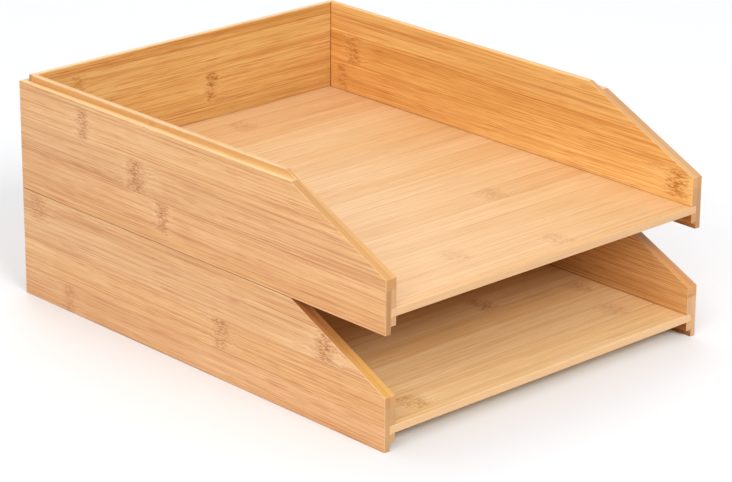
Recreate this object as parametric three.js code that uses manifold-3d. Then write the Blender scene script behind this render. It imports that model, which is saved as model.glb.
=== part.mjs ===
// Two stacking letter trays in solid bamboo, one standing on the other.
//
// Each tray is four glued boards: a left side, a right side, a back board and a
// thin shelf. All lengths are in millimetres, +Z is up, the open front faces -Y.
// The origin is on the ground, under the middle of the stack.
//
// The three upright boards are milled to one section, so that trays stack:
//
//        outside |  inside
//                | __            <- tongue (inner half stands up)
//        ledge -> __||
//               |   |
//               |   |
//               |  [=  shelf groove
//               | _|            <- recess (inner half stops short)
//               ||
//               --              <- outer half stands on the ledge below
//
// The tongue of one tray enters the recess of the next, and the outer half of
// the next comes down onto the ledge.
import * as THREE from 'three';
import * as BufferGeometryUtils from 'three/addons/utils/BufferGeometryUtils.js';
import Module from 'manifold-3d';

// ---------------------------------------------------------------- dimensions
const WIDTH = 260;            // outside, left to right
const DEPTH = 330;            // outside, front to back
const PITCH = 70;             // height that one more tray adds to the stack
const SEAM = 0.3;             // dark line left between a tray and the one on it
const BOARD = 8;              // thickness of the side and back boards

const LEDGE_W = 4.4;          // width of the ledge that carries the next tray
const TONGUE_H = 4.2;         // how far the tongue stands above the ledge
const FOOT_W = 4.0;           // thickness of the outer half at the bottom edge
const RECESS_H = 4.6;         // how far the inner half stops short of the bottom

const SHELF_Z = 10;           // underside of the shelf above the tray's bottom edge
const SHELF_T = 5;            // shelf thickness
const GROOVE_D = 4;           // depth of the shelf grooves in the boards

const FRONT_H = 33;           // height of the vertical front end of a side board
const SLOPE_Y = 78.5;         // where the slope meets the ledge, back from the front

const GLUE = 0.2;             // glue line between two boards of one tray

const LEDGE_Z = PITCH - SEAM;               // ledge height in a tray
const TOP_Z = LEDGE_Z + TONGUE_H;           // top of the tongue in a tray
const SLOPE = (LEDGE_Z - FRONT_H) / SLOPE_Y; // rise of the sloping edge per mm
const SLOPE_TOP_Y = (TOP_Z - FRONT_H) / SLOPE; // where the slope meets the tongue's top

// ------------------------------------------------------------ solid modelling
const wasm = await Module();
wasm.setup();

function solid(geometry) {
  const g = geometry.clone();
  g.deleteAttribute('normal');
  g.deleteAttribute('uv');
  const m = BufferGeometryUtils.mergeVertices(g, 1e-5);
  return new wasm.Manifold(new wasm.Mesh({
    numProp: 3,
    vertProperties: new Float32Array(m.attributes.position.array),
    triVerts: new Uint32Array(m.index.array),
  }));
}

function surface(manifold) {
  const mesh = manifold.getMesh();
  const g = new THREE.BufferGeometry();
  g.setAttribute('position', new THREE.BufferAttribute(new Float32Array(mesh.vertProperties), 3));
  g.setIndex(new THREE.BufferAttribute(new Uint32Array(mesh.triVerts), 1));
  const flat = g.toNonIndexed();
  flat.computeVertexNormals();
  return flat;
}

// a block given by its two corners
function block(x0, x1, y0, y1, z0, z1) {
  const g = new THREE.BoxGeometry(x1 - x0, y1 - y0, z1 - z0);
  g.translate((x0 + x1) / 2, (y0 + y1) / 2, (z0 + z1) / 2);
  return solid(g);
}

const OVER = 5; // how far a cutter runs past the faces it opens

// ------------------------------------------------------------------- boards
// A side board in its own frame: x = 0 is its outer face and x = BOARD its
// inner face, y = 0 its front end, z = 0 its bottom edge.
function sideBoard() {
  const outline = new THREE.Shape();
  outline.moveTo(0, 0);
  outline.lineTo(DEPTH, 0);
  outline.lineTo(DEPTH, TOP_Z);
  outline.lineTo(SLOPE_TOP_Y, TOP_Z);
  outline.lineTo(0, FRONT_H);
  outline.closePath();
  const g = new THREE.ExtrudeGeometry(outline, { depth: BOARD, bevelEnabled: false });
  // shape x -> +Y, shape y -> +Z, extrusion -> +X
  g.applyMatrix4(new THREE.Matrix4().makeBasis(
    new THREE.Vector3(0, 1, 0), new THREE.Vector3(0, 0, 1), new THREE.Vector3(1, 0, 0)));
  return solid(g)
    // ledge along the outer half of the top edge
    .subtract(block(-OVER, LEDGE_W, -OVER, DEPTH + OVER, LEDGE_Z, TOP_Z + OVER))
    // recess along the inner half of the bottom edge, stopped at the back
    .subtract(block(FOOT_W, BOARD + OVER, -OVER, DEPTH - FOOT_W, -OVER, RECESS_H))
    // groove for the shelf, open at the front
    .subtract(block(BOARD - GROOVE_D, BOARD + OVER, -OVER, DEPTH - BOARD + GROOVE_D, SHELF_Z, SHELF_Z + SHELF_T))
    // rabbet that takes the end of the back board
    .subtract(block(LEDGE_W, BOARD + OVER, DEPTH - BOARD, DEPTH + OVER, -OVER, TOP_Z + OVER));
}

// The back board in its own frame: x = 0 is the middle of the tray, y = 0 its
// rear face and y = -BOARD its front face, z = 0 its bottom edge.
function backBoard() {
  const half = WIDTH / 2 - LEDGE_W - GLUE;
  return block(-half, half, -BOARD + GLUE, 0, 0, TOP_Z)
    .subtract(block(-half - OVER, half + OVER, -LEDGE_W, OVER, LEDGE_Z, TOP_Z + OVER))
    .subtract(block(-half - OVER, half + OVER, -BOARD - OVER, -FOOT_W, -OVER, RECESS_H))
    .subtract(block(-half - OVER, half + OVER, -BOARD - OVER, -BOARD + GROOVE_D, SHELF_Z, SHELF_Z + SHELF_T));
}

// The shelf in its own frame: x = 0 is the middle of the tray, y = 0 its front
// edge, z = 0 its underside. It is let into three grooves.
function shelfBoard() {
  const half = WIDTH / 2 - BOARD + GROOVE_D - GLUE;
  return block(-half, half, 0, DEPTH - BOARD + GROOVE_D - GLUE, GLUE / 2, SHELF_T - GLUE / 2);
}

// the other hand of a board: mirrored left to right, with its faces kept outward
function mirrored(geometry) {
  const g = geometry.clone();
  const p = g.attributes.position;
  for (let i = 0; i < p.count; i++) p.setX(i, -p.getX(i));
  for (let i = 0; i < p.count; i += 3) {
    const a = [p.getX(i + 1), p.getY(i + 1), p.getZ(i + 1)];
    p.setXYZ(i + 1, p.getX(i + 2), p.getY(i + 2), p.getZ(i + 2));
    p.setXYZ(i + 2, ...a);
  }
  g.computeVertexNormals();
  return g;
}

const leftGeometry = surface(sideBoard());
const rightGeometry = mirrored(leftGeometry);
const backGeometry = surface(backBoard());
const shelfGeometry = surface(shelfBoard());

// ---------------------------------------------------------------- materials
const bamboo = (hex, roughness) => new THREE.MeshStandardMaterial({ color: hex, roughness, metalness: 0 });

// ----------------------------------------------------------------- assembly
function tray(name, z) {
  const group = new THREE.Group();
  group.position.set(0, 0, z);
  const add = (part, geometry, x, y, zz, hex, roughness) => {
    const mesh = new THREE.Mesh(geometry, bamboo(hex, roughness));
    mesh.name = `${name}_${part}`;
    mesh.position.set(x, y, zz);
    group.add(mesh);
  };
  add('left_side', leftGeometry, -WIDTH / 2, -DEPTH / 2, 0, 0xe4b281, 0.5);
  add('right_side', rightGeometry, WIDTH / 2, -DEPTH / 2, 0, 0xe8a868, 0.5);
  add('back_board', backGeometry, 0, DEPTH / 2, 0, 0xe6a562, 0.5);
  add('shelf', shelfGeometry, 0, -DEPTH / 2, SHELF_Z, 0xf0c594, 0.45);
  return group;
}

const stack = new THREE.Group();
stack.add(tray('lower', 0));
stack.add(tray('upper', PITCH));

export default stack;
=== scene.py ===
"""Two stacking bamboo letter trays: the looks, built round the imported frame.

Eight glued boards, each one a piece of its own: eased arrises in geometry, and
a procedural bamboo that runs through the whole thickness of the board, so that
faces, edges, slopes and end grain all cut the same strips, fibres and knots.
"""
import math

import bmesh
import bpy
from mathutils import Matrix, Vector


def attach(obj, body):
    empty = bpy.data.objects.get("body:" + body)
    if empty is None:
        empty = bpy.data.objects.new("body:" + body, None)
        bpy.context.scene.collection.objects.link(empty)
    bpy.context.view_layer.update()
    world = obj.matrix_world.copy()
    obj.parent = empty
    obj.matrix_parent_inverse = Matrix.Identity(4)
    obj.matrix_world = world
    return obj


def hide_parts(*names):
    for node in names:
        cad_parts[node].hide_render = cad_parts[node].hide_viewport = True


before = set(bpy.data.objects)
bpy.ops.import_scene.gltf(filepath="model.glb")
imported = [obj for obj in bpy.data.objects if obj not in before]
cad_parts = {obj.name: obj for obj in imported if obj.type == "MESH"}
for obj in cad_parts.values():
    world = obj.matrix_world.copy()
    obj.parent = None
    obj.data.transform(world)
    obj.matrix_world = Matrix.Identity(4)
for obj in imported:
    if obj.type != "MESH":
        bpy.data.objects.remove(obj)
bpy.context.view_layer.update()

scene = bpy.context.scene
MM = 0.001

# the boards' sizes that the looks need, in millimetres
WIDTH, DEPTH, BOARD, PITCH = 260.0, 330.0, 8.0, 70.0
LEDGE_W, LEDGE_Z, TOP_Z, FOOT_W = 4.4, 69.7, 73.9, 4.0
SHELF_Z, SHELF_T, GLUE = 10.0, 5.0, 0.2


# ---------------------------------------------------------------- node graphs
class Graph:
    """Short names for the shader nodes of one material."""

    def __init__(self, name):
        self.mat = bpy.data.materials.new(name)
        self.mat.use_nodes = True
        self.nt = self.mat.node_tree
        self.nt.nodes.clear()

    def new(self, kind, **props):
        n = self.nt.nodes.new(kind)
        for k, v in props.items():
            setattr(n, k, v)
        return n

    def put(self, socket, value):
        if isinstance(value, bpy.types.NodeSocket):
            self.nt.links.new(value, socket)
        elif value is not None:
            socket.default_value = value

    def math(self, op, a, b=None, c=None, clamp=False):
        n = self.new("ShaderNodeMath", operation=op, use_clamp=clamp)
        for i, v in enumerate((a, b, c)):
            if v is not None:
                self.put(n.inputs[i], v)
        return n.outputs[0]

    def add(self, a, b): return self.math("ADD", a, b)
    def sub(self, a, b): return self.math("SUBTRACT", a, b)
    def mul(self, a, b): return self.math("MULTIPLY", a, b)
    def div(self, a, b): return self.math("DIVIDE", a, b)
    def mad(self, a, b, c): return self.math("MULTIPLY_ADD", a, b, c)
    def absolute(self, a): return self.math("ABSOLUTE", a)
    def top(self, a, b): return self.math("MAXIMUM", a, b)
    def low(self, a, b): return self.math("MINIMUM", a, b)

    def step(self, value, lo, hi, a=0.0, b=1.0):
        """a below lo, b above hi, smooth between them."""
        n = self.new("ShaderNodeMapRange", interpolation_type="SMOOTHSTEP")
        self.put(n.inputs["Value"], value)
        n.inputs["From Min"].default_value = lo
        n.inputs["From Max"].default_value = hi
        n.inputs["To Min"].default_value = a
        n.inputs["To Max"].default_value = b
        return n.outputs[0]

    def vec(self, x, y, z):
        n = self.new("ShaderNodeCombineXYZ")
        for i, v in enumerate((x, y, z)):
            self.put(n.inputs[i], v)
        return n.outputs[0]

    def split(self, v):
        n = self.new("ShaderNodeSeparateXYZ")
        self.put(n.inputs[0], v)
        return n.outputs

    def vmath(self, op, a, b=None, scale=None):
        n = self.new("ShaderNodeVectorMath", operation=op)
        self.put(n.inputs[0], a)
        if b is not None:
            self.put(n.inputs[1], b)
        if scale is not None:
            self.put(n.inputs["Scale"], scale)
        return n.outputs["Value"] if op in ("LENGTH", "DOT_PRODUCT", "DISTANCE") else n.outputs[0]

    def noise(self, v, detail=2.0, rough=0.5, distort=0.0):
        n = self.new("ShaderNodeTexNoise", noise_dimensions="3D")
        self.put(n.inputs["Vector"], v)
        n.inputs["Scale"].default_value = 1.0
        n.inputs["Detail"].default_value = detail
        n.inputs["Roughness"].default_value = rough
        n.inputs["Distortion"].default_value = distort
        return n.outputs[0]

    def white(self, x, y, z):
        n = self.new("ShaderNodeTexWhiteNoise", noise_dimensions="3D")
        self.put(n.inputs["Vector"], self.vec(x, y, z))
        return n.outputs["Value"]

    def mixf(self, fac, a, b):
        n = self.new("ShaderNodeMix", data_type="FLOAT", clamp_factor=True)
        self.put(n.inputs[0], fac)
        self.put(n.inputs[2], a)
        self.put(n.inputs[3], b)
        return n.outputs[0]

    def mixc(self, fac, a, b, mode="MIX"):
        n = self.new("ShaderNodeMix", data_type="RGBA", blend_type=mode, clamp_factor=True)
        self.put(n.inputs[0], fac)
        self.put(n.inputs[6], a)
        self.put(n.inputs[7], b)
        return n.outputs[2]

    def ramp(self, fac, stops):
        n = self.new("ShaderNodeValToRGB")
        e = n.color_ramp.elements
        while len(e) > 1:
            e.remove(e[-1])
        e[0].position, e[0].color = stops[0][0], stops[0][1]
        for pos, col in stops[1:]:
            e.new(pos).color = col
        self.put(n.inputs[0], fac)
        return n.outputs[0]


def srgb(r, g, b):
    f = lambda c: c / 12.92 if c <= 0.04045 else ((c + 0.055) / 1.055) ** 2.4
    return (f(r / 255), f(g / 255), f(b / 255), 1.0)


# --------------------------------------------------------------------- bamboo
def bamboo(name, along, across, through, seed, strip0, tint=(1, 1, 1), strip=20.0,
           plies=(4.0,), inside=None, knots=(), seams=(), tones=None, lines=1.0,
           contrast=1.0, edge_tone=srgb(216, 176, 116), tongue=None, ends=None, slope_tone_and_shade=None,
           butts=(), rub_and_highlight_amount=1.0, uncut=True, outer=None):
    """Edge-glued bamboo strips, as a solid.

    along, across, through: (axis, sign, offset in mm) of the grain's direction,
    the direction in which the strips lie side by side, and the thickness.
    strip0 is where one strip's edge falls, plies where one ply ends and the next
    starts, inside=(lo, hi) the depth between the two planed faces, where a cut
    shows fresh wood. knots are (along, across centre, half length, half height,
    strength); seams are (across, half width, strength), dark lines on the inner
    face where another board is let in: the glue line, darkened as painted shade
    of the corner. butts are the same along the grain. tones sets chosen strips'
    tone instead of a random one. ends are the colours of the outer and the inner
    ply where the front end cuts them, below 26 mm up. The slope colours given are
    the slope's colour at its foot and at its top; the darker top is painted shade,
    on the lower tray the shadow of the tray above. outer is the outer ply's own
    tint, where it differs from the inner one's.
    """
    g = Graph(name)
    coord = g.new("ShaderNodeTexCoord")
    p = g.split(g.vmath("SCALE", coord.outputs["Object"], scale=1000.0))
    n = g.split(coord.outputs["Normal"])
    a, b, c = (g.mad(p[axis], float(sign), float(-sign * off))
               for axis, sign, off in (along, across, through))
    na, nb, nc = (g.absolute(n[axis]) for axis, _, _ in (along, across, through))

    # which way this face cuts the fibres
    end = g.step(na, 0.62, 0.86)
    slope = g.mul(g.step(na, 0.20, 0.38), g.math("SUBTRACT", 1.0, end))
    edge = g.mul(g.step(nb, 0.72, 0.96), g.math("SUBTRACT", 1.0, end))
    fresh = None
    if inside:
        fresh = g.mul(g.step(nc, 0.7, 0.9),
                      g.mul(g.step(c, inside[0] + 0.3, inside[0] + 0.9), g.step(c, inside[1] - 0.9, inside[1] - 0.3, 1.0, 0.0)))

    # knots: where a strip crosses the node of a cane
    knot, near = None, None
    wob = g.noise(g.vec(g.mul(a, 1 / 16.0), g.mul(b, 1 / 2.8), float(seed)), 3.0, 0.6)
    wob = g.mad(wob, 16.0, -8.0)
    faint = g.step(g.noise(g.vec(g.mul(a, 1 / 12.0), g.mul(b, 1 / 5.5), seed + 40.0), 1.0), 0.34, 0.56, 0.50, 1.0)
    for ka, kb, la, lb, strength in knots:
        da = g.absolute(g.math("MULTIPLY_ADD", g.add(a, wob), 1.0 / la, -ka / la))
        db = g.absolute(g.mad(b, 1.0 / lb, -kb / lb))
        inb = g.step(db, 0.82, 1.06, 1.0, 0.0)
        k = g.mul(g.mul(g.step(da, 0.15, 1.30, 1.0, 0.0), faint), g.mul(inb, float(strength)))
        w = g.mul(g.step(da, 0.8, 3.6, 1.0, 0.0), g.mul(inb, float(strength)))
        knot = k if knot is None else g.top(knot, k)
        near = w if near is None else g.top(near, w)

    # the strips, with edges that wander a little
    drift = g.noise(g.vec(g.mul(a, 1 / 160.0), g.mul(b, 1 / 45.0), seed * 3.1), 1.0)
    s = g.math("MULTIPLY_ADD", g.add(b, g.mad(drift, 0.8, -0.4)), 1.0 / strip, -strip0 / strip)
    idx = g.math("FLOOR", s)
    frac = g.sub(s, idx)
    ply = None
    for cut in plies:
        over = g.math("GREATER_THAN", c, float(cut))
        ply = over if ply is None else g.add(ply, over)
    ply = 0.0 if ply is None else ply
    r1 = g.white(idx, ply, seed + 0.37)
    r2 = g.white(idx, ply, seed + 7.77)
    r3 = g.white(idx, ply, seed + 15.19)

    # each strip is another cane, so its fibres start elsewhere; they bend round a knot
    fa = g.mad(r1, 900.0, a)
    fb = g.mad(r2, 70.0, b)
    if near is not None:
        swirl = g.noise(g.vec(g.mul(a, 1 / 7.0), g.mul(b, 1 / 6.0), seed + 2.0), 1.0)
        fb = g.add(fb, g.mul(near, g.mad(swirl, 5.0, -2.5)))
    fc = g.mad(r3, 30.0, c)

    def grain(la, lb, detail=2.0, rough=0.5, shift=0.0):
        return g.noise(g.vec(g.mul(fa, 1.0 / la), g.mul(fb, 1.0 / lb), g.mad(fc, 1.0 / lb, shift)), detail, rough)

    broad = grain(240.0, 8.0, 2.0, 0.5)
    streak = grain(150.0, 2.4, 2.0, 0.5, 11.0)
    fibre = grain(85.0, 0.75, 2.0, 0.6, 23.0)
    tick = grain(18.0, 0.60, 1.0, 0.5, 37.0)
    hair = grain(120.0, 0.85, 1.0, 0.4, 83.0)
    patch = grain(48.0, 11.0, 1.0, 0.5, 51.0)
    line = grain(150.0, 1.15, 1.0, 0.4, 67.0)

    # tone: 0 deep, 1 pale
    tone = g.mad(broad, 0.50 * contrast, 0.57 - 0.25 * contrast)
    tone = g.add(tone, g.mad(streak, 0.26 * contrast, -0.13 * contrast))
    tone = g.add(tone, g.mad(fibre, 1.0 * contrast, -0.5 * contrast))
    tone = g.add(tone, g.mad(patch, 0.34 * contrast, -0.17 * contrast))
    chosen = g.mad(r1, 0.22 * contrast, -0.11 * contrast)
    for i, value in (tones or {}).items():
        hit = g.math("COMPARE", idx, float(i), 0.25)
        chosen = g.mixf(hit, chosen, float(value))
    tone = g.add(tone, chosen)
    col = g.ramp(tone, [(0.0, srgb(176, 112, 58)), (0.30, srgb(208, 148, 88)),
                        (0.55, srgb(227, 172, 112)), (0.80, srgb(238, 190, 134)), (1.0, srgb(245, 206, 156))])

    # strips differ in hue too: some pinker, some more yellow
    col = g.mixc(g.mul(g.step(r2, 0.45, 0.95), 0.18), col, srgb(246, 214, 190), "MULTIPLY")
    col = g.mixc(g.mul(g.step(r3, 0.45, 0.95), 0.24), col, srgb(255, 240, 190), "MULTIPLY")

    # long reddish lines, and the short dark ticks of the vascular bundles
    lined = g.mul(g.step(line, 0.60, 0.72), g.step(broad, 0.36, 0.60, 1.0, 0.35))
    col = g.mixc(g.mul(lined, 0.22 * lines), col, srgb(206, 140, 102), "MULTIPLY")
    face = g.math("SUBTRACT", 1.0, g.low(g.add(end, slope), 1.0))
    hairs = g.mul(g.step(hair, 0.54, 0.64), face)
    col = g.mixc(g.mul(hairs, 0.40 * contrast), col, srgb(214, 158, 120), "MULTIPLY")
    many = g.step(g.mad(r3, 0.10, g.mul(patch, 0.9)), 0.30, 0.62)
    ticks = g.mul(g.step(tick, 0.50, 0.68), g.mixf(many, 0.30, 1.0))
    ticks = g.mul(ticks, g.mixf(end, 1.0, 0.2))
    col = g.mixc(g.mul(ticks, 0.50 * contrast), col, srgb(218, 162, 128), "MULTIPLY")

    # the glue line between two strips comes and goes
    apart = g.low(frac, g.math("SUBTRACT", 1.0, frac))
    gap = g.step(apart, 0.006, 0.026, 1.0, 0.0)
    gone = g.noise(g.vec(g.mul(a, 1 / 85.0), g.mul(idx, 3.7), seed + 5.0), 1.0)
    gap = g.mul(g.mul(gap, g.top(face, end)), g.step(gone, 0.42, 0.64, 0.06, 1.0))
    col = g.mixc(g.mul(gap, 0.60), col, srgb(204, 146, 108), "MULTIPLY")

    # knots: dark speckle in a paler field
    if knot is not None:
        spot = g.noise(g.vec(g.mul(a, 1 / 3.1), g.mul(b, 1 / 0.95), g.mul(c, 1 / 0.95)), 1.5, 0.55)
        dots = g.mul(g.step(spot, 0.42, 0.58), knot)
        light = g.mul(g.step(spot, 0.36, 0.48, 1.0, 0.0), near)
        col = g.mixc(g.mul(near, 0.08), col, srgb(246, 206, 156))
        col = g.mixc(g.mul(light, 0.18), col, srgb(248, 208, 158))
        col = g.mixc(g.mul(knot, 0.42), col, srgb(206, 138, 76))
        col = g.mixc(g.mul(dots, 0.80), col, srgb(168, 94, 34))

    # narrow edges and slopes cut the plies: yellower, with the ply line showing
    col = g.mixc(g.mul(edge, 0.62), col, edge_tone)
    if tongue is not None:
        ledge = g.mul(edge, g.step(b, tongue - 3.0, tongue - 2.0, 1.0, 0.0))
        col = g.mixc(g.mul(ledge, 0.5), col, srgb(242, 202, 150))
    if slope_tone_and_shade:
        low, high = slope_tone_and_shade
        # the slope darkens from foot to top: painted shade, on the lower tray the shadow of the tray above
        cutcol = g.mixc(g.step(b, 36.0, 66.0), low, high)
        cutcol = g.mixc(g.mul(g.step(c, 3.6, 4.4, 1.0, 0.0), 0.5), cutcol, srgb(232, 214, 204), "MULTIPLY")
        col = g.mixc(g.mul(slope, 0.85), col, cutcol)
    if fresh is not None:
        col = g.mixc(g.mul(fresh, 0.70), col, srgb(218, 158, 80))
    for cut in plies:
        seam = g.step(g.absolute(g.sub(c, float(cut))), 0.05, 0.28, 1.0, 0.0)
        col = g.mixc(g.mul(g.mul(seam, g.top(end, g.top(edge, slope))), 0.45), col, srgb(198, 142, 92), "MULTIPLY")

    # end grain: each ply its own tone, and the bundles as dots that crowd to one side
    v = g.new("ShaderNodeTexVoronoi", voronoi_dimensions="2D")
    g.put(v.inputs["Vector"], g.vec(g.mul(fb, 1 / 0.85), g.mul(c, 1 / 0.85), 0.0))
    v.inputs["Scale"].default_value = 1.0
    dot = g.step(v.outputs["Distance"], 0.16, 0.36, 1.0, 0.0)
    crowd = g.math("FRACT", g.mul(c, 1 / 4.0))
    endcol = g.ramp(g.mad(r2, 0.8, g.mad(fibre, 0.3, -0.15)),
                    [(0.0, srgb(172, 120, 68)), (0.5, srgb(188, 136, 82)), (1.0, srgb(204, 154, 98))])
    if ends:   # below 26 mm up, the end takes its plies' own colours; above, the common end colour
        plycol = g.mixc(g.step(c, 3.8, 4.2), ends[0], ends[1])
        endcol = g.mixc(g.step(b, 26.0, 26.6, 0.75, 0.0), endcol, plycol)
    endcol = g.mixc(g.mul(dot, g.mad(crowd, 0.30, 0.12)), endcol, srgb(146, 92, 54))
    col = g.mixc(end, col, endcol)

    # the eased arris is paler here and there: partly wood rubbed back to paler wood, partly a painted highlight of
    # light on the rounded edge
    arris = g.new("ShaderNodeAttribute", attribute_type="GEOMETRY", attribute_name="arris").outputs["Fac"]
    wear_and_sheen = g.noise(g.vec(g.mul(p[0], 1 / 14.0), g.mul(p[1], 1 / 14.0), g.mul(p[2], 1 / 14.0)), 2.0)
    rub_and_highlight = g.mul(arris, g.step(wear_and_sheen, 0.30, 0.62, 0.35, 0.9))
    if tongue is not None:
        rub_and_highlight = g.mul(rub_and_highlight, g.step(b, tongue - 1.2, tongue - 0.8, 0.35, 1.0))
    col = g.mixc(g.mul(rub_and_highlight, 0.50 * rub_and_highlight_amount), col, srgb(250, 216, 176))

    # dark lines on the inner face where another board meets it: the glue line, darkened as painted shade of the corner
    inner = g.mul(g.step(nc, 0.6, 0.9), g.step(c, 3.8, 4.2))
    for at, half, strength in seams:
        near_it = g.step(g.absolute(g.sub(b, float(at))), half * 0.35, half, 1.0, 0.0)
        col = g.mixc(g.mul(g.mul(near_it, inner), float(strength)), col, srgb(150, 96, 60), "MULTIPLY")
    if tongue is not None:   # below the shelf the inner face is darker: painted shade of the shelf above
        under_shelf_shade = g.mul(g.mul(g.step(b, SHELF_Z - 0.6, SHELF_Z, 1.0, 0.0), g.step(nc, 0.6, 0.9)), g.step(c, FOOT_W - 0.3, FOOT_W))
        col = g.mixc(g.mul(under_shelf_shade, 0.9), col, srgb(170, 130, 90), "MULTIPLY")
    for at, half, strength in butts:
        near_it = g.step(g.absolute(g.sub(a, float(at))), half * 0.35, half, 1.0, 0.0)
        col = g.mixc(g.mul(g.mul(near_it, inner), float(strength)), col, srgb(140, 88, 70), "MULTIPLY")

    if tongue is not None:   # the foot's lower arris is darker: painted shade of the seam with the tray below, and of the floor under the lower tray
        foot_shade = g.mul(g.step(b, 0.16, 0.42, 1.0, 0.0), g.step(c, FOOT_W, FOOT_W + 0.3, 1.0, 0.0))
        col = g.mixc(g.mul(foot_shade, 0.85), col, srgb(150, 96, 62), "MULTIPLY")

    whole = g.math("SUBTRACT", 1.0, g.low(g.add(end, g.add(slope, edge) if uncut else edge), 1.0))
    shade = (*tint, 1.0)
    if outer:
        shade = g.mixc(g.step(c, 3.8, 4.2), (*outer, 1.0), shade)
    col = g.mixc(whole, col, shade, "MULTIPLY")

    bsdf = g.new("ShaderNodeBsdfPrincipled")
    out = g.new("ShaderNodeOutputMaterial")
    g.put(bsdf.inputs["Base Color"], col)
    rough = g.add(g.mad(fibre, 0.16, 0.36), g.mul(ticks, 0.07))
    rough = g.add(rough, g.add(g.mul(end, 0.14), g.mul(rub_and_highlight, -0.04)))
    g.put(bsdf.inputs["Roughness"], rough)
    height = g.sub(g.add(g.mul(fibre, 0.5), g.mul(streak, 0.3)), g.add(g.mul(ticks, 0.35), g.mul(gap, 0.6)))
    if knot is not None:
        height = g.sub(height, g.mul(dots, 0.3))
    height = g.sub(height, g.mul(g.mul(end, dot), 0.5))
    bump = g.new("ShaderNodeBump")
    bump.inputs["Strength"].default_value = 0.35
    bump.inputs["Distance"].default_value = 0.00006
    g.put(bump.inputs["Height"], height)
    g.put(bsdf.inputs["Normal"], bump.outputs[0])
    bsdf.inputs["IOR"].default_value = 1.48
    g.put(out.inputs["Surface"], bsdf.outputs[0])
    return g.mat


# --------------------------------------------------------------------- boards
def board(name, node, body, ease, material):
    """A board from its CAD solid: welded, its flat faces made whole, and its
    arrises eased by what ease(mid, direction) gives for each convex edge, in mm."""
    bm = bmesh.new()
    bm.from_mesh(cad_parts[node].data)
    bmesh.ops.remove_doubles(bm, verts=bm.verts[:], dist=2e-5)
    bmesh.ops.dissolve_limit(bm, angle_limit=math.radians(0.4), verts=bm.verts[:], edges=bm.edges[:])
    bmesh.ops.recalc_face_normals(bm, faces=bm.faces[:])
    weight = bm.edges.layers.float.new("bevel_weight_edge")
    for e in bm.edges:
        if len(e.link_faces) == 2 and e.is_convex and e.calc_face_angle(0.0) > 0.2:
            mid = (e.verts[0].co + e.verts[1].co) / 2 / MM
            run = (e.verts[1].co - e.verts[0].co).normalized()
            e[weight] = max(0.0, min(1.0, ease(mid, run)))
        e.smooth = e[weight] > 0.0 or e.calc_face_angle(0.0) < 0.2
    for f in bm.faces:
        f.smooth = True
        f.material_index = 0
    me = bpy.data.meshes.new(name)
    bm.to_mesh(me)
    bm.free()
    me.materials.append(material)
    me.materials.append(material)
    ob = bpy.data.objects.new(name, me)
    scene.collection.objects.link(ob)
    mod = ob.modifiers.new("ease", "BEVEL")
    mod.width = 1.0 * MM
    mod.segments = 4
    mod.limit_method = "WEIGHT"
    mod.use_clamp_overlap = False
    mod.harden_normals = True
    mod.material = 1
    mod.miter_outer = "MITER_ARC"
    dg = bpy.context.evaluated_depsgraph_get()
    done = bpy.data.meshes.new_from_object(ob.evaluated_get(dg), preserve_all_data_layers=True, depsgraph=dg)
    ob.modifiers.clear()
    ob.data = done
    done.name = name
    wear_and_sheen = done.attributes.new("arris", "FLOAT", "CORNER")
    for poly in done.polygons:
        for i in poly.loop_indices:
            wear_and_sheen.data[i].value = float(poly.material_index)
    for poly in done.polygons:
        poly.material_index = 0
    while len(done.materials) > 1:
        done.materials.pop()
    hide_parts(node)
    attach(ob, body)
    return ob


def upright(z0, side):
    """How far each arris of a side board is eased, in mm."""
    def ease(mid, run):
        x = mid.x + WIDTH / 2 if side < 0 else WIDTH / 2 - mid.x   # 0 at the outer face
        y, z = mid.y + DEPTH / 2, mid.z - z0
        if x > LEDGE_W - 0.2 and y > DEPTH - BOARD - 0.5:          # in the joint with the back board
            return 0.0
        if abs(run.x) > 0.9:                                       # across the board
            if y < 0.5:
                return 0.30 if z > SHELF_Z + 12 or z < 6 else 0.12
            return 0.25
        if abs(run.z) > 0.9:                                       # upright arrises
            return 0.40 if y < 1 or y > DEPTH - 1 else 0.1
        if z < RECESS_TOP + 0.2:
            return 0.14 if z < 1 else 0.18
        if SHELF_Z - 0.5 < z < SHELF_Z + SHELF_T + 0.5:
            return 0.10
        if z > TOP_Z - 0.5:
            return 0.75
        if abs(z - LEDGE_Z) < 0.3:
            return 0.16
        return 0.50                                                # the slope
    return ease


RECESS_TOP = 4.6


def rear(z0):
    def ease(mid, run):
        y, z = DEPTH / 2 - mid.y, mid.z - z0                       # y 0 at the rear face
        if abs(run.x) < 0.5:
            return 0.08
        if z > TOP_Z - 0.5:
            return 0.75
        if abs(z - LEDGE_Z) < 0.3:
            return 0.35
        if z < RECESS_TOP + 0.2:
            return 0.22
        return 0.10
    return ease


def flat(z0):
    def ease(mid, run):
        return 0.30 if mid.y < -DEPTH / 2 + 1 and abs(run.x) > 0.5 else 0.08
    return ease


X, Y, Z = 0, 1, 2
GRAIN_Y = (Y, 1, -DEPTH / 2)          # along, from the open front
GRAIN_X = (X, 1, -WIDTH / 2)          # along, from the left

def side_through(side):
    return (X, 1, -WIDTH / 2) if side < 0 else (X, -1, WIDTH / 2)


# each board's tint: the left boards' is their own tone. The rear boards' darker tint is painted shade, toning down the
# light they get from the front.
SIDE, REAR_TONE_AND_SHADE = (0.94, 0.97, 1.06), (0.77, 0.80, 0.63)

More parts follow.
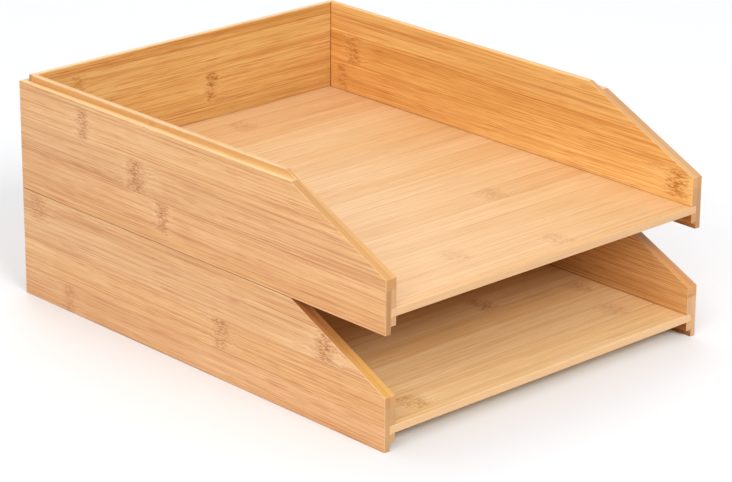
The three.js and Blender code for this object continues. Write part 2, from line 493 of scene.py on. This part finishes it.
pieces = {}
for tray, z0 in (("lower", 0.0), ("upper", PITCH)):
    up = tray == "upper"
    # right and shelf tints per tray: the lower right board darker as painted shade of the upper tray over it, the lower
    # shelf much paler than the upper one as painted light of the lower compartment
    RIGHT_TONE_AND_SHADE = (1.06, 1.12, 0.90) if up else (0.89, 0.88, 0.79)
    SHELF_TONE_AND_LIGHT = (0.95, 1.10, 1.34) if up else (1.15, 1.51, 1.96)
    body = tray + "_tray"
    let_in = [(SHELF_Z + SHELF_T, 0.6, 0.4), (SHELF_Z, 0.45, 0.5)]

    m = bamboo(tray + "_left_bamboo", GRAIN_Y, (Z, 1, z0), side_through(-1), 3.0 if up else 11.0,
               6.5 if up else 18.5, inside=(0.0, BOARD), tongue=TOP_Z, tint=SIDE, contrast=0.86,
               tones={2: 0.08, 1: -0.04, 0: -0.02, 3: 0.02} if up else {2: -0.02, 1: 0.03, 0: 0.02, -1: 0.0},
               ends=(srgb(158, 112, 66), srgb(192, 150, 104)) if up else (srgb(184, 142, 96), srgb(184, 142, 94)),
               slope_tone_and_shade=(srgb(202, 150, 86), srgb(188, 136, 76)) if up else (srgb(214, 164, 84), srgb(158, 82, 16)),
               knots=[(267.6, 56.5, 5.5, 10.0, 0.85), (216.5, 36.5, 8.5, 10.0, 1.0), (193.0, 16.5, 6.0, 10.0, 0.9),
                      (206.5, 72.0, 4.0, 3.0, 1.0)] if up else
                     [(314.0, 60.0, 9.0, 9.5, 0.5), (285.0, 8.5, 6.0, 10.0, 0.55), (140.0, 28.5, 7.0, 10.0, 0.85),
                      (49.0, 48.5, 8.0, 10.0, 1.0)])
    pieces[tray + "_left"] = board(tray + "_left_board", tray + "_left_side", body, upright(z0, -1), m)

    m = bamboo(tray + "_right_bamboo", GRAIN_Y, (Z, 1, z0), side_through(1), 23.0 if up else 31.0,
               15.0 if up else 8.0, inside=(0.0, BOARD), tongue=TOP_Z, tint=RIGHT_TONE_AND_SHADE, outer=SIDE, seams=let_in, rub_and_highlight_amount=0.6,
               tones={2: 0.0, 1: -0.06, 0: 0.06} if up else None,
               ends=(srgb(172, 130, 88), srgb(182, 134, 86)) if up else (srgb(208, 162, 122), srgb(204, 160, 118)),
               slope_tone_and_shade=(srgb(200, 156, 104), srgb(188, 136, 86)) if up else (srgb(198, 138, 78), srgb(146, 82, 48)),
               knots=[(300.0, 45.0, 7.0, 10.0, 0.8), (311.0, 25.0, 6.0, 9.0, 0.7), (13.0, 27.0, 9.0, 9.5, 1.0)] if up else
                     [(96.0, 38.0, 6.0, 10.0, 0.7), (248.0, 58.0, 6.0, 10.0, 0.9)])
    pieces[tray + "_right"] = board(tray + "_right_board", tray + "_right_side", body, upright(z0, 1), m)

    m = bamboo(tray + "_back_bamboo", GRAIN_X, (Z, 1, z0), (Y, -1, DEPTH / 2), 41.0 if up else 47.0,
               6.5 if up else 13.0, inside=(0.0, BOARD), tongue=TOP_Z, tint=REAR_TONE_AND_SHADE, outer=(0.88, 0.90, 0.84), seams=let_in,
               butts=[(BOARD, 0.7, 0.75), (WIDTH - BOARD, 0.7, 0.75)], edge_tone=srgb(244, 204, 152),
               knots=[(148.0, 36.5, 5.5, 10.0, 1.0), (40.0, 56.5, 5.0, 10.0, 0.6)] if up else
                     [(88.0, 23.0, 6.0, 10.0, 0.8), (200.0, 43.0, 6.0, 10.0, 0.9)])
    pieces[tray + "_rear"] = board(tray + "_rear_board", tray + "_back_board", body, rear(z0), m)

    m = bamboo(tray + "_shelf_bamboo", GRAIN_X, (Y, 1, -DEPTH / 2), (Z, 1, z0 + SHELF_Z), 59.0 if up else 67.0,
               6.5, plies=(), seams=(), contrast=0.50, tint=SHELF_TONE_AND_LIGHT, rub_and_highlight_amount=0.1, uncut=False,
               edge_tone=srgb(190, 157, 120) if up else srgb(206, 172, 132),
               knots=[(152.0, 296.5, 9.0, 10.0, 0.5), (179.0, 96.5, 9.0, 10.0, 0.45), (88.0, 36.5, 10.0, 10.0, 0.35),
                      (152.0, 16.5, 8.0, 10.0, 0.4)] if up else
                     [(172.0, 96.5, 7.0, 10.0, 0.7), (238.0, 76.5, 7.0, 10.0, 0.5), (226.0, 36.5, 8.0, 10.0, 0.5),
                      (37.0, 16.5, 9.0, 10.0, 0.7)])
    pieces[tray + "_shelf"] = board(tray + "_shelf_board", tray + "_shelf", body, flat(z0), m)


# ------------------------------------------------------------- floor and light
def paper_floor():
    g = Graph("studio_paper")
    coord = g.new("ShaderNodeTexCoord")
    tooth = g.noise(g.vmath("SCALE", coord.outputs["Object"], scale=900.0), 2.0)
    bsdf = g.new("ShaderNodeBsdfPrincipled")
    out = g.new("ShaderNodeOutputMaterial")
    g.put(bsdf.inputs["Base Color"], g.mixc(tooth, (0.800, 0.810, 0.826, 1), (0.820, 0.830, 0.846, 1)))
    bsdf.inputs["Roughness"].default_value = 0.6
    bsdf.inputs["Specular IOR Level"].default_value = 0.25
    # further out the sweep glows by emission, painted light that keeps it pale behind the trays
    far = g.vmath("LENGTH", coord.outputs["Object"])
    bsdf.inputs["Emission Color"].default_value = (1.0, 1.0, 1.0, 1.0)
    g.put(bsdf.inputs["Emission Strength"], g.step(far, 0.9, 3.2, 0.0, 0.50))
    g.put(out.inputs["Surface"], bsdf.outputs[0])
    return g.mat


bm = bmesh.new()
bmesh.ops.create_grid(bm, x_segments=2, y_segments=2, size=9.0)
me = bpy.data.meshes.new("studio_floor")
bm.to_mesh(me)
bm.free()
me.materials.append(paper_floor())
floor = bpy.data.objects.new("studio_floor", me)
scene.collection.objects.link(floor)


def area(name, at, to, size, power, colour=(1, 1, 1)):
    light = bpy.data.lights.new(name, "AREA")
    light.shape = "RECTANGLE"
    light.size, light.size_y = size
    light.energy = power
    light.color = colour
    ob = bpy.data.objects.new(name, light)
    ob.location = at
    ob.rotation_mode = "QUATERNION"
    ob.rotation_quaternion = (Vector(to) - Vector(at)).to_track_quat("-Z", "Y")
    scene.collection.objects.link(ob)
    return ob


def around(az, el, dist):
    """A point seen from the object at that azimuth and height; azimuth 0 is in front of the open side."""
    a, e = math.radians(az), math.radians(el)
    return (math.sin(a) * math.cos(e) * dist, -math.cos(a) * math.cos(e) * dist, math.sin(e) * dist + 0.05)


area("key_softbox", around(-62, 34, 3.8), (0, 0, 0.05), (2.4, 1.8), 58, (1.0, 0.99, 0.98))
area("front_softbox", around(-10, 36, 3.8), (0, 0, 0.05), (1.9, 1.0), 80)
area("top_softbox", (0.0, 0.6, 2.4), (0, 0, 0.05), (2.2, 2.2), 18)
area("rear_card", around(137, 27, 2.5), (0, 0, 0.05), (2.6, 1.5), 11)

world = bpy.data.worlds.new("studio")
scene.world = world
world.use_nodes = True
world.node_tree.nodes["Background"].inputs["Color"].default_value = (1.0, 1.0, 1.0, 1)
world.node_tree.nodes["Background"].inputs["Strength"].default_value = 0.50

scene.view_settings.view_transform = "Standard"
scene.view_settings.look = "None"
scene.view_settings.exposure = 0.0
scene.view_settings.gamma = 1.0

# --------------------------------------------------------------------- camera
AZ, EL, ROLL = (math.radians(d) for d in (-43.031, 20.471, 0.408))
back = Vector((math.sin(AZ) * math.cos(EL), -math.cos(AZ) * math.cos(EL), math.sin(EL)))
right = Vector((0, 0, 1)).cross(back).normalized()
upward = back.cross(right)
r2 = right * math.cos(ROLL) + upward * math.sin(ROLL)
u2 = upward * math.cos(ROLL) - right * math.sin(ROLL)
eye = (Vector((-5.0, 0.0, 75.0)) + back * 1852.2 + r2 * 9.89 + u2 * -24.33) * MM
cam = bpy.data.cameras.new("camera")
cam.sensor_fit = "HORIZONTAL"
cam.sensor_width = 36.0
cam.lens = 3029.4 / 732 * 36.0
cam.clip_start, cam.clip_end = 0.05, 50.0
cam_ob = bpy.data.objects.new("camera", cam)
cam_ob.matrix_world = Matrix(((r2.x, u2.x, back.x, eye.x), (r2.y, u2.y, back.y, eye.y),
                              (r2.z, u2.z, back.z, eye.z), (0, 0, 0, 1)))
scene.collection.objects.link(cam_ob)
scene.camera = cam_ob
